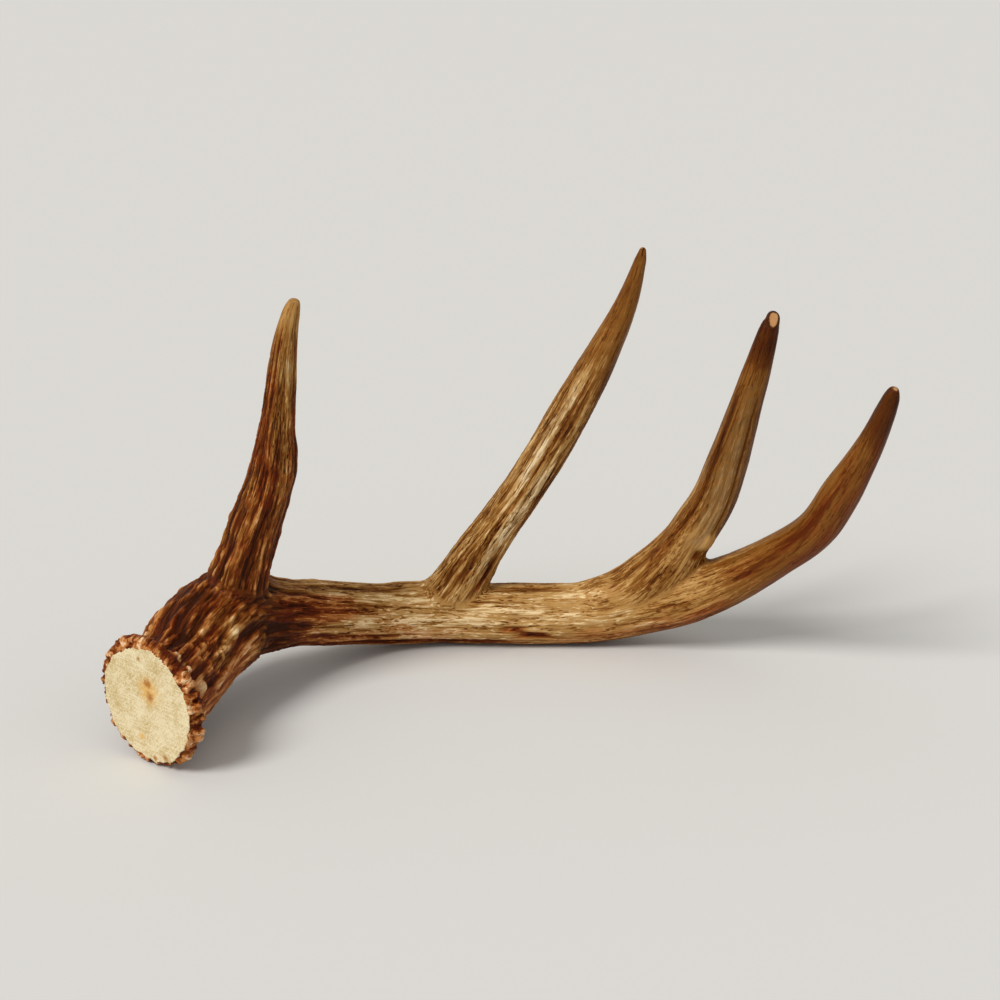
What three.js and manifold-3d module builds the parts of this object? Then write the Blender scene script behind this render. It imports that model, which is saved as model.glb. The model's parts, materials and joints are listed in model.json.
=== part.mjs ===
// A white-tailed deer's antler, sawn off flat below its burr and lying with its tines up.
// Units are millimetres, +Z is up, and the origin is on the ground under the middle of the antler.
// The antler grew as one branching bone. It is split at its three main forks into seven pieces.

import * as THREE from 'three';
import { mergeVertices } from 'three/addons/utils/BufferGeometryUtils.js';
import Module from 'manifold-3d';

const wasm = await Module();
wasm.setup();

// ---- Driving dimensions ----------------------------------------------------------------------

const SIDES = 20;             // sides of every limb's cross-section
const RING_SPACING = 6;       // between cross-sections along a limb
const KERF = 0.3;             // gap where two pieces meet at a fork
const FRAME_COUNT = 200;      // steps along a limb that carry its cross-section without twist

// The sawn face below the burr: its centre, the way it faces and its radius.
const SAWN_CENTRE = new THREE.Vector3(-129, -55, 25);
const SAWN_NORMAL = new THREE.Vector3(-0.633, -0.774, -0.02).normalize();
const SAWN_RADIUS = 24;

// The burr, or coronet: the beaded ring around the foot of the stem.
const BURR_RADIUS = 24.4;
const BURR_BEADS = 22;
const BURR_BEAD_HEIGHT = 0.7;
const BURR_LOBE = 1.2;        // how much further the ring stands out on the side away from the tines
const BURR_CREST = 2.5;       // behind the sawn face
const BURR_BACK = 5;          // end of the ring's crown
const BURR_FOOT = 8;          // where its slope meets the stem
const BURR_FOOT_RADIUS = 20;
const BURR_CORE = 12;         // end of the ring's solid, inside the stem
const SAW_WASTE = 20;         // thickness of what the saw takes off in front of the face

// Each limb is a line of stations: x, y and z of its centre, and its radius there.
const BEAM = [
  [-128.5, -54, 25, 18.5],
  [-121.5, -27, 25.5, 19],
  [-114, -9, 31, 19.3],
  [-104.5, 6, 34.5, 18.4],
  [-93, 16, 31, 15.5],
  [-80, 27, 26, 13.8],
  [-65, 40, 20, 13],
  [-49, 51, 15, 12.7],
  [-29, 57, 12.9, 12.6],
  [0, 57, 12.7, 12.6],
  [25, 57, 12.8, 12.8],
  [42, 57, 13.5, 12.7],
  [58, 55, 17.5, 12.6],
  [76, 50, 23.5, 12],
  [93, 44, 32.5, 10.6],
  [110, 34, 47, 8.8],
  [124, 23, 63, 8.2],
  [132, 14, 82, 7.7],
  [139.5, 5, 103, 5.5],
  [143.5, -2, 119, 4.3],
  [145, -5, 126, 3.4],
  [145.5, -6, 129, 2.4],
];

const BROW_TINE = [
  [-105, -4, 33, 11.5],
  [-103, 0, 43, 12],
  [-100, 2, 54, 11.8],
  [-94.5, 2, 71, 10.1],
  [-87.5, 1, 91, 8.7],
  [-84, 0, 110, 7.2],
  [-81.5, 0, 129, 5.8],
  [-79, 0, 147, 4.6],
  [-76.5, 1, 158, 3.3],
  [-75.5, 1, 161, 2.4],
];

const SECOND_TINE = [
  [-29, 57, 13, 11],
  [-20, 57, 23, 11],
  [-11, 57, 37, 10],
  [-1, 55, 53, 8.7],
  [11, 53, 72, 8.4],
  [22.5, 50, 93, 8.3],
  [32.5, 46, 113, 7.8],
  [41.5, 43, 132, 6.3],
  [49, 41, 150, 4.5],
  [54, 39, 168, 2.4],
  [55, 39, 172.5, 1.3],
];

const THIRD_TINE = [
  [28, 57, 12.5, 11.5],
  [46, 56, 18, 12.3],
  [58, 55, 25, 12.5],
  [68, 52, 36, 12.2],
  [77, 49, 50, 10.2],
  [86, 44, 68, 9.1],
  [91, 40, 87, 8.2],
  [95.5, 34, 109, 6.6],
  [99.5, 30, 127, 5.4],
  [103, 28, 143, 3.9],
  [104.5, 28, 149, 2.5],
];

// Where the limbs are cut, as distances along each limb from its first station.
const BEAM_CUT_AFTER_BROW = 97;
const BEAM_CUT_AFTER_SECOND = 194;
const BEAM_CUT_AFTER_THIRD = 292;
const BROW_TINE_CUT = 32;
const SECOND_TINE_CUT = 36;
const THIRD_TINE_CUT = 66;

const DARK_CHESTNUT = '#4f2d18';
const GOLDEN_BROWN = '#8a5f35';
const PALE_TAN = '#b08c5e';
const WARM_TAN = '#a67e4e';
const GREY_BROWN = '#9a7c58';
const POLISHED_BROWN = '#8b6438';

// ---- Shapes ----------------------------------------------------------------------------------

function growLimb(stations) {
  const centres = stations.map(([x, y, z]) => new THREE.Vector3(x, y, z));
  const path = new THREE.CatmullRomCurve3(centres);
  path.arcLengthDivisions = FRAME_COUNT * 4;
  const radii = stations.map(([, , , radius], index) => new THREE.Vector2(index, radius));
  return {
    path,
    length: path.getLength(),
    sides: path.computeFrenetFrames(FRAME_COUNT).normals,
    girth: new THREE.SplineCurve(radii),
  };
}

function crossSection(limb, distance) {
  const share = THREE.MathUtils.clamp(distance / limb.length, 0, 1);
  const t = limb.path.getUtoTmapping(share);
  const tangent = limb.path.getTangent(t);
  const side = limb.sides[Math.round(share * FRAME_COUNT)].clone();
  side.projectOnPlane(tangent).normalize();
  return {
    centre: limb.path.getPoint(t),
    side,
    across: side.clone().cross(tangent),
    radius: limb.girth.getPoint(t).y,
  };
}

function solidFrom(geometry) {
  geometry.deleteAttribute('normal');
  geometry.deleteAttribute('uv');
  const welded = mergeVertices(geometry, 1e-3);
  return new wasm.Manifold(new wasm.Mesh({
    numProp: 3,
    vertProperties: new Float32Array(welded.attributes.position.array),
    triVerts: new Uint32Array(welded.index.array),
  }));
}

// A stretch of a limb: a cylinder bent along the limb's path and tapered to its girth.
function limbSolid(limb, start, end) {
  const rings = Math.round((end - start) / RING_SPACING);
  const geometry = new THREE.CylinderGeometry(1, 1, 1, SIDES, rings);
  const position = geometry.attributes.position;
  const point = new THREE.Vector3();
  for (let i = 0; i < position.count; i += 1) {
    point.fromBufferAttribute(position, i);
    const section = crossSection(limb, start + (point.y + 0.5) * (end - start));
    const { x, z } = point;
    point.copy(section.centre);
    point.addScaledVector(section.side, x * section.radius);
    point.addScaledVector(section.across, z * section.radius);
    position.setXYZ(i, point.x, point.y, point.z);
  }
  return solidFrom(geometry);
}

// Stands at the sawn face's centre, with Y running into the stem and X level.
function sawnFrame() {
  const inward = SAWN_NORMAL.clone().negate();
  const level = new THREE.Vector3(inward.y, -inward.x, 0).normalize();
  const up = level.clone().cross(inward);
  return new THREE.Matrix4().makeBasis(level, inward, up).setPosition(SAWN_CENTRE);
}

// The burr's ring: a turned profile whose crown stands out in beads, a little long for the saw.
function burrSolid() {
  const profile = [
    [0, -1],
    [SAWN_RADIUS, -1],
    [SAWN_RADIUS, 0],
    [BURR_RADIUS, BURR_CREST],
    [BURR_RADIUS, BURR_BACK],
    [BURR_FOOT_RADIUS, BURR_FOOT],
    [BURR_FOOT_RADIUS - 4, BURR_CORE],
    [0, BURR_CORE],
  ].map(([radius, depth]) => new THREE.Vector2(radius, depth));
  const geometry = new THREE.LatheGeometry(profile, BURR_BEADS * 3);
  const position = geometry.attributes.position;
  const point = new THREE.Vector3();
  for (let i = 0; i < position.count; i += 1) {
    point.fromBufferAttribute(position, i);
    const radius = Math.hypot(point.x, point.z);
    if (point.y >= BURR_CREST && point.y <= BURR_BACK) {
      const angle = Math.atan2(point.x, point.z);
      const bead = BURR_BEAD_HEIGHT * Math.abs(Math.cos(angle * BURR_BEADS / 2));
      const lobe = BURR_LOBE * Math.max(0, -Math.sin(angle));
      const swell = (radius + bead + lobe) / radius;
      position.setXYZ(i, point.x * swell, point.y, point.z * swell);
    }
  }
  geometry.applyMatrix4(sawnFrame());
  return solidFrom(geometry);
}

// The slab in front of the sawn face, which is cut away.
function sawWaste() {
  const geometry = new THREE.BoxGeometry(SAWN_RADIUS * 3, SAW_WASTE, SAWN_RADIUS * 3);
  geometry.translate(0, -SAW_WASTE / 2, 0);
  geometry.applyMatrix4(sawnFrame());
  return solidFrom(geometry);
}

// One named piece, placed by the point where it grows on from the piece before it.
function pieceMesh(name, solid, root, colour, roughness) {
  const { vertProperties, triVerts } = solid.getMesh();
  const geometry = new THREE.BufferGeometry();
  geometry.setAttribute('position', new THREE.BufferAttribute(vertProperties, 3));
  geometry.setIndex(new THREE.BufferAttribute(triVerts, 1));
  geometry.translate(-root.x, -root.y, -root.z);
  geometry.computeVertexNormals();
  const material = new THREE.MeshStandardMaterial({ color: colour, roughness, metalness: 0 });
  const mesh = new THREE.Mesh(geometry, material);
  mesh.name = name;
  mesh.position.copy(root);
  return mesh;
}

// ---- The antler ------------------------------------------------------------------------------

const beam = growLimb(BEAM);
const browTine = growLimb(BROW_TINE);
const secondTine = growLimb(SECOND_TINE);
const thirdTine = growLimb(THIRD_TINE);

function beamBase() {
  const solid = burrSolid()
    .add(limbSolid(beam, 0, BEAM_CUT_AFTER_BROW))
    .subtract(sawWaste())
    .add(limbSolid(browTine, 0, BROW_TINE_CUT));
  return pieceMesh('beam_base', solid, SAWN_CENTRE, DARK_CHESTNUT, 0.6);
}

// A stretch of the beam between two cuts, with the stump of the tine that forks off it.
function beamWithFork(name, start, end, tine, tineCut, colour) {
  const from = start + KERF;
  const solid = limbSolid(beam, from, end).add(limbSolid(tine, 0, tineCut));
  return pieceMesh(name, solid, crossSection(beam, from).centre, colour, 0.55);
}

function limbEnd(name, limb, cut, colour, roughness) {
  const from = cut + KERF;
  const solid = limbSolid(limb, from, limb.length);
  return pieceMesh(name, solid, crossSection(limb, from).centre, colour, roughness);
}

const antler = new THREE.Group();
antler.name = 'deer_antler';
antler.add(
  beamBase(),
  limbEnd('brow_tine', browTine, BROW_TINE_CUT, GOLDEN_BROWN, 0.5),
  beamWithFork('lower_beam', BEAM_CUT_AFTER_BROW, BEAM_CUT_AFTER_SECOND,
    secondTine, SECOND_TINE_CUT, PALE_TAN),
  limbEnd('second_tine', secondTine, SECOND_TINE_CUT, WARM_TAN, 0.5),
  beamWithFork('upper_beam', BEAM_CUT_AFTER_SECOND, BEAM_CUT_AFTER_THIRD,
    thirdTine, THIRD_TINE_CUT, WARM_TAN),
  limbEnd('third_tine', thirdTine, THIRD_TINE_CUT, GREY_BROWN, 0.5),
  limbEnd('beam_tip', beam, BEAM_CUT_AFTER_THIRD, POLISHED_BROWN, 0.45),
);

export default antler;
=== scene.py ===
import json
import math
import random

import bpy
import numpy as np
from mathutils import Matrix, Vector


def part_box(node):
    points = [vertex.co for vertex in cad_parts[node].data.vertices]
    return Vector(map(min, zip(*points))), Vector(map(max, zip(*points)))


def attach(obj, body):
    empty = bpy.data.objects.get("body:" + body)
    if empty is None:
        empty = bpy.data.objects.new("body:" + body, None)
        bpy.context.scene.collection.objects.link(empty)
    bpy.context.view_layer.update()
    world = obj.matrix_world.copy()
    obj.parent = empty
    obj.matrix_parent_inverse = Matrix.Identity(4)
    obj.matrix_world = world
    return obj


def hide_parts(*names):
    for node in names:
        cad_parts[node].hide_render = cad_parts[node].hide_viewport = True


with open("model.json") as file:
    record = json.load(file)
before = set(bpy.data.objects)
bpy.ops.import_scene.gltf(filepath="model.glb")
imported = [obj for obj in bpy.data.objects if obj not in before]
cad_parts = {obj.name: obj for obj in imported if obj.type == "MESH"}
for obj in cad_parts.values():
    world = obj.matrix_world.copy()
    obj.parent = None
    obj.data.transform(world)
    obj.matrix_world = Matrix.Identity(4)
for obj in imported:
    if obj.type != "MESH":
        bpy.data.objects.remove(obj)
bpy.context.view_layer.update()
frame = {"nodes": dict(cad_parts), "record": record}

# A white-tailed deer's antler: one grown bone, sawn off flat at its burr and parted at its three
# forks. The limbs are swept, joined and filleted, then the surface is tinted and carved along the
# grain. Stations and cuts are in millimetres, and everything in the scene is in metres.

bl_info = {
    "name": "Deer Antler",
    "version": (1, 0, 0),
    "blender": (4, 5, 0),
    "location": "View3D > Sidebar > Antler",
    "description": "Grows a deer antler with a beaded burr, grained limbs and worn tips",
    "category": "Object",
}

MM = 0.001

# ---- The limbs' courses ------------------------------------------------------------------------

# Each station is x, y and z of a limb's centre and its radius there, in millimetres.
BEAM = (
    (-128.5, -54, 25, 18.5), (-121.5, -27, 25.5, 19), (-114, -9, 31, 19.3), (-104.5, 6, 34.5, 18.4),
    (-93, 16, 31, 15.5), (-80, 27, 26, 13.8), (-65, 40, 20, 13), (-49, 51, 15, 12.7),
    (-29, 57, 12.9, 12.6), (0, 57, 12.7, 12.6), (25, 57, 12.8, 12.8), (42, 57, 13.5, 12.7),
    (58, 55, 17.5, 12.6), (76, 50, 23.5, 12), (93, 44, 32.5, 10.6), (110, 34, 47, 8.8),
    (124, 23, 63, 8.2), (132, 14, 82, 7.7), (139.5, 5, 103, 5.5), (143.5, -2, 119, 4.3),
    (145, -5, 126, 3.4), (145.5, -6, 129, 2.4),
)
BROW_TINE = (
    (-105, -4, 33, 11.5), (-103, 0, 43, 12), (-100, 2, 54, 11.8), (-94.5, 2, 71, 10.1),
    (-87.5, 1, 91, 8.7), (-84, 0, 110, 7.2), (-81.5, 0, 129, 5.8), (-79, 0, 147, 4.6),
    (-76.5, 1, 158, 3.3), (-75.5, 1, 161, 2.4),
)
SECOND_TINE = (
    (-29, 57, 13, 11), (-20, 57, 23, 11), (-11, 57, 37, 10), (-1, 55, 53, 8.7), (11, 53, 72, 8.4),
    (22.5, 50, 93, 8.3), (32.5, 46, 113, 7.8), (41.5, 43, 132, 6.3), (49, 41, 150, 4.5),
    (54, 39, 168, 2.4), (55, 39, 172.5, 1.3),
)
THIRD_TINE = (
    (28, 57, 12.5, 11.5), (46, 56, 18, 12.3), (58, 55, 25, 12.5), (68, 52, 36, 12.2),
    (77, 49, 50, 10.2), (86, 44, 68, 9.1), (91, 40, 87, 8.2), (95.5, 34, 109, 6.6),
    (99.5, 30, 127, 5.4), (103, 28, 143, 3.9), (104.5, 28, 149, 2.5),
)
LIMB_STATIONS = {
    "beam": BEAM, "brow_tine": BROW_TINE, "second_tine": SECOND_TINE, "third_tine": THIRD_TINE,
}
SAMPLE_SPACING = 1.5 * MM     # between the samples along a limb's course
SPLINE_STEPS = 60             # steps from one station to the next in which a course is worked out
CHUNK = 40000                 # points that are measured at a time
LIMB_ROUNDNESS = 10           # segments in a quarter of a limb's swept section
TIP_BLUNTNESS = 0.6           # length of a limb's rounded end, in radii
TIP_RINGS = (25, 50, 70, 85)  # degrees at which the rounded end has its rings
LEAD = 5 * MM                 # how far the beam and the burr start in front of the saw's cut
CREASES = (1.15, 1.75)        # radii from both limbs at which a fork is fully and not at all filleted
FILLET_STRENGTH = 0.8         # share of the way that a smoothing round evens a fork
VOXEL_ROUNDS = 2              # smoothing rounds that take off the steps of the voxels
GRAIN_RADIUS = 12 * MM        # the girth at which the grain has its real width
GRAIN_TAPER = 0.7             # how far the grain narrows with the limb, from 0 to 1

# Where a tine's own grain and tint take over from the beam's: millimetres along the tine, and the
# difference between its distances from the two limbs, in radii.
TAKES_OVER = {"brow_tine": (8, 24), "second_tine": (4, 17), "third_tine": (10, 34)}
TAKES_OVER_WIDTH = 0.4

# Where the bone is parted, in millimetres along each limb.
CUTS = (
    ("beam", 97), ("beam", 194), ("beam", 292),
    ("brow_tine", 32), ("second_tine", 36), ("third_tine", 66),
)
CUT_REACH = 1.24              # how far from the cut's centre it bites, in radii
CAP_SIDES = 8                 # a face with more sides than this closes a cut

# ---- The sawn face and the burr ----------------------------------------------------------------

SAWN_FACE = next(m for m in frame["record"]["mounts"] if m["name"] == "sawn_face")
SAWN_CENTRE = Vector(SAWN_FACE["pos_m"])
SAWN_NORMAL = Vector(SAWN_FACE["axis"]).normalized()
INWARD = -SAWN_NORMAL
LEVEL = Vector((INWARD.y, -INWARD.x, 0)).normalized()
UPRIGHT = LEVEL.cross(INWARD)
SWELL_ANGLE = math.radians(165)     # where the burr swells out most, counted from LEVEL to UPRIGHT
RIM_ANGLE = math.radians(121)       # where the face's rim is widest, counted the same way

# Where the burr's beads are worn low, counted the same way, and how far, in mm.
TRIMS = ((math.radians(80), 2.0), (math.radians(218), 1.7), (math.radians(270), 1.5))
TRIM_WIDTH = 0.86             # cosine of how far to each side of there they are worn

# Rows of beads around the burr: mm behind the face, mm they stand out and share of the usual bead.
BEAD_ROWS = ((1.5, -0.6, 0.85), (3.3, 0.1, 1.0), (5.2, -0.1, 1.05), (7.2, -1.7, 0.9))
BEAD_SEED = 7
BEAD_TURN = 0.4               # how far a bead strays around the burr, as a share of their spacing
BEAD_RISE = 0.5               # how far it strays outwards, in mm
BEAD_STRAY = 0.8              # how far it strays along the stem, in mm
BEAD_SIZES = (0.6, 1.4)       # smallest and largest, as a share of the row's
BURR_SIDES = 72

# The stem's two large pearls: mm along the beam, the way they face and their radius in mm.
LARGE_PEARLS = ((7.5, (0.94, -0.23, 0.26), 2.6), (16, (0.95, -0.25, 0.15), 1.6))
PEARL_SEAT = 0.15             # share of its radius that a large pearl sits in the stem

# The face's ragged edge and the beads around it, in millimetres.
FACE_RADIUS = 22.9
RIM_WIDENING = 1.5
RIM_DEPTH = 1.3
RIM_REACH = 3.0               # how far behind the face its rim is pressed back
RIM_BEADS = 62                # in each of the rim's rows
RIM_ROWS = (1.0, 3.0)         # how far outside the face's edge they lie
RIM_BEAD_SIZES = (0.9, 1.5)   # smallest and largest radius
RIM_SEED = 11
EDGE_WAVES = ((0.3, 5, 1), (0.25, 13, 2), (0.2, 29, 0))     # height, waves around and their start
FACE_SKIN = 0.3               # how deep behind the cut a point still belongs to the face
GROUND_TONE = 0.16            # how much paler the saw left the bone around the face
WORN_EDGE = (0.02, 0.12)      # how much has to be worn off to lay the bone just and fully bare


def linear(hex_colour):
    """An sRGB colour such as #c19c66 as linear red, green and blue."""
    parts = [int(hex_colour[i:i + 2], 16) / 255 for i in (1, 3, 5)]
    return tuple(c / 12.92 if c <= 0.04045 else ((c + 0.055) / 1.055) ** 2.4 for c in parts)


# ---- Settings ----------------------------------------------------------------------------------


def length(name, description, millimetres, low=0.0):
    return bpy.props.FloatProperty(
        name=name, description=description, default=millimetres * MM, min=low,
        subtype="DISTANCE", unit="LENGTH", precision=5)


def colour(name, description, hex_colour):
    return bpy.props.FloatVectorProperty(
        name=name, description=description, default=linear(hex_colour),
        subtype="COLOR", size=3, min=0.0, max=1.0)


def count(name, description, default):
    return bpy.props.IntProperty(name=name, description=description, default=default, min=0)


class BoneSettings(bpy.types.PropertyGroup):
    """Sizes of the grown bone."""
    rough_voxel: length("Rough voxel", "Voxel in which the limbs grow together", 1.1)
    cut_voxel: length("Cut voxel", "Voxel in which the burr joins the stem before the saw", 0.6)
    fine_voxel: length("Fine voxel", "Voxel of the finished surface", 0.47)
    fork_rounds: count("Fork rounds", "Smoothing rounds that fillet the forks", 9)
    crown_radius: length("Crown radius", "Radius of the burr under its beads", 23.3)
    crown_back: length("Crown back", "End of the burr's crown behind the sawn face", 5)
    foot_radius: length("Foot radius", "Radius of the burr where it meets the stem", 18.6)
    foot_back: length("Foot back", "Where the burr meets the stem behind the sawn face", 9)
    crown_swell: length("Crown swell", "How far the crown swells out, away from the tines", 0.9)
    bead: length("Bead", "Usual radius of a bead of the burr", 1.2)
    beads: count("Beads", "Beads in one row around the burr", 56)


class SurfaceSettings(bpy.types.PropertyGroup):
    """Heights of the carved relief."""
    lump: length("Lump", "Height of the broad swellings", 1.1)
    ridge: length("Ridge", "Height of the long ridges", 0.9)
    groove: length("Groove", "Depth of the vein grooves", 0.35)
    streak: length("Streak", "Height of the grain", 0.4)
    fibre: length("Fibre", "Height of the finest fibres", 0.12)
    pearl: length("Pearl", "Height of the pearls on the stem", 1.1)
    pore: length("Pore", "Depth of the short open pores", 0.22)


# The three stains of the bone, each in its shades from the darkest pits to the rubbed tops.
STAINS = {
    "gold": ("tan bone", ("#331503", "#5a2f08", "#825420", "#b3894f", "#ecd2a4")),
    "rust": ("chestnut bone", ("#321001", "#571d03", "#7e3c10", "#b5733a", "#eac49a")),
    "grey": ("weathered bone", ("#2e1a0b", "#4f3313", "#7d5c34", "#ab8d66", "#decdb0")),
}
SHADES = ("darkest", "dark", "middle", "light", "lightest")


class SkinSettings(bpy.types.PropertyGroup):
    """Colours of the bone. The shades of its stains are added below."""
    sawn: colour("Sawn bone", "The sawn face", "#e5d8b6")
    sawn_dust: colour("Sawn bone, mottled", "Darker grain of the sawn face", "#bca46e")
    halo: colour("Halo", "The stain around the pith", "#dcae62")
    pith: colour("Pith", "The marks at the middle of the sawn face", "#a4682c")
    worn: colour("Worn tip", "Bone laid bare at the tips", "#d0a070")
    worn_stain: colour("Worn tip, stained", "Darker grain of the bone laid bare", "#a87444")


for stain, (bone, hex_colours) in STAINS.items():
    for k, (shade, hex_colour) in enumerate(zip(SHADES, hex_colours)):
        SkinSettings.__annotations__[f"{stain}_{k}"] = colour(
            f"{stain.title()}, {shade}", f"{shade.title()} shade of {bone}", hex_colour)


class StageSettings(bpy.types.PropertyGroup):
    """The floor, the lights and the camera."""
    floor_side: length("Floor side", "Side of the floor", 40000)
    floor_colour: colour("Floor", "The floor's colour", "#d8dadd")
    camera_back: length("Camera distance", "From the origin back to the camera", 713.8)
    camera_height: length("Camera height", "Above the floor", 343.7)
    camera_pitch: bpy.props.FloatProperty(
        name="Camera pitch", description="Below the horizon", default=math.radians(20),
        subtype="ANGLE", unit="ROTATION")
    camera_lens: bpy.props.FloatProperty(
        name="Lens", description="Focal length on a 36 mm sensor", default=72.0,
        subtype="DISTANCE_CAMERA", unit="CAMERA")
    key_strength: bpy.props.FloatProperty(
        name="Key light", description="Strength of the soft light at the upper left",
        default=2.3, min=0.0)
    key_spread: bpy.props.FloatProperty(
        name="Key spread", description="How wide the key light is",
        default=math.radians(24), subtype="ANGLE")
    sky: bpy.props.FloatProperty(
        name="Surroundings", description="Strength of the pale surroundings",
        default=0.5, min=0.0)


# ---- The limbs in numbers ----------------------------------------------------------------------


def smooth(low, high, value):
    """0 below low, 1 above high and a smooth step between."""
    t = np.clip((value - low) / (high - low), 0, 1)
    return t * t * (3 - 2 * t)


def unit(vectors):
    return vectors / np.maximum(np.linalg.norm(vectors, axis=-1, keepdims=True), 1e-12)


def spline_at(stations, t, chords):
    """A Catmull-Rom spline through the stations at parameters t, whose knots follow chords."""
    rows = np.vstack([2 * stations[0] - stations[1], stations, 2 * stations[-1] - stations[-2]])
    i = np.minimum(t.astype(int), len(stations) - 2)
    w = (t - i)[:, None]
    p0, p1, p2, p3 = rows[i], rows[i + 1], rows[i + 2], rows[i + 3]
    d0, d1, d2 = chords(p0, p1), chords(p1, p2), chords(p2, p3)
    start = (p1 - p0) / d0 - (p2 - p0) / (d0 + d1) + (p2 - p1) / d1
    end = (p2 - p1) / d1 - (p3 - p1) / (d1 + d2) + (p3 - p2) / d2
    m1, m2 = start * d1, end * d1
    return (2 * p1 - 2 * p2 + m1 + m2) * w**3 + (3 * p2 - 3 * p1 - 2 * m1 - m2) * w**2 + m1 * w + p1


def root_chord(a, b):
    return np.linalg.norm(b - a, axis=1, keepdims=True) ** 0.5


def even_chord(a, _b):
    return np.ones((len(a), 1))


class Limb:
    """Evenly spaced samples of a limb: its centre, radius, tangent and two cross directions."""

    def __init__(self, stations, fork=None):
        rows = np.array(stations, float) * MM
        t = np.linspace(0, len(rows) - 1, SPLINE_STEPS * (len(rows) - 1) + 1)
        centre = spline_at(rows[:, :3], t, root_chord)
        radius = spline_at(rows[:, 3:], t, even_chord)[:, 0]
        run = np.r_[0, np.cumsum(np.linalg.norm(np.diff(centre, axis=0), axis=1))]
        self.along = np.linspace(0, run[-1], round(run[-1] / SAMPLE_SPACING))
        self.centre = np.stack([np.interp(self.along, run, centre[:, k]) for k in range(3)], axis=1)
        self.radius = np.interp(self.along, run, radius)
        self.tangent = unit(np.gradient(self.centre, axis=0))
        side = np.array([0.0, 0.0, 1.0])
        self.grain_start = 0.0
        if fork is not None:
            nearest = np.linalg.norm(fork.centre - self.centre[0], axis=1).argmin()
            self.grain_start = fork.along[nearest]
            turn = Vector(fork.tangent[nearest]).rotation_difference(Vector(self.tangent[0]))
            side = np.array(turn @ Vector(fork.side[nearest]))
        self.side = np.empty_like(self.centre)
        for i, tangent in enumerate(self.tangent):
            side = unit(side - tangent * (side @ tangent))
            self.side[i] = side
        self.across = np.cross(self.tangent, self.side)

    def at(self, distance):
        """The sample nearest to a distance along the limb, in metres."""
        return int(np.abs(self.along - distance).argmin())

    def measure(self, points):
        """Where points lie on the limb: distance along, offset from its centre and radius there."""
        nearest = np.empty(len(points), int)
        half = (self.centre**2).sum(axis=1) / 2
        for start in range(0, len(points), CHUNK):
            chunk = points[start:start + CHUNK]
            nearest[start:start + CHUNK] = (chunk @ self.centre.T - half).argmax(axis=1)
        ahead = ((points - self.centre[nearest]) * self.tangent[nearest]).sum(axis=1) > 0
        i = np.clip(np.where(ahead, nearest, nearest - 1), 0, len(self.along) - 2)
        behind = ((points - self.centre[i]) * self.tangent[i]).sum(axis=1)
        beyond = ((points - self.centre[i + 1]) * self.tangent[i + 1]).sum(axis=1)
        share = behind / np.where(np.abs(behind - beyond) < 1e-9, 1e-9, behind - beyond)
        inside = np.clip(share, 0, 1)[:, None]
        step = self.along[i + 1] - self.along[i]

        def blend(values):
            return values[i] * (1 - inside) + values[i + 1] * inside

        overshoot = np.where(share < 0, behind, np.where(share > 1, beyond, 0))
        return {
            "along": self.along[i] + inside[:, 0] * step + overshoot,
            "offset": points - blend(self.centre),
            "radius": blend(self.radius[:, None])[:, 0],
            "side": blend(self.side),
            "across": blend(self.across),
            "tangent": unit(blend(self.tangent)),
        }


def grow_limbs():
    beam = Limb(BEAM)
    limbs = {"beam": beam}
    for name in ("brow_tine", "second_tine", "third_tine"):
        limbs[name] = Limb(LIMB_STATIONS[name], beam)
    return limbs


LIMBS = grow_limbs()

# ---- Tint and texture along the limbs ----------------------------------------------------------

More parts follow.
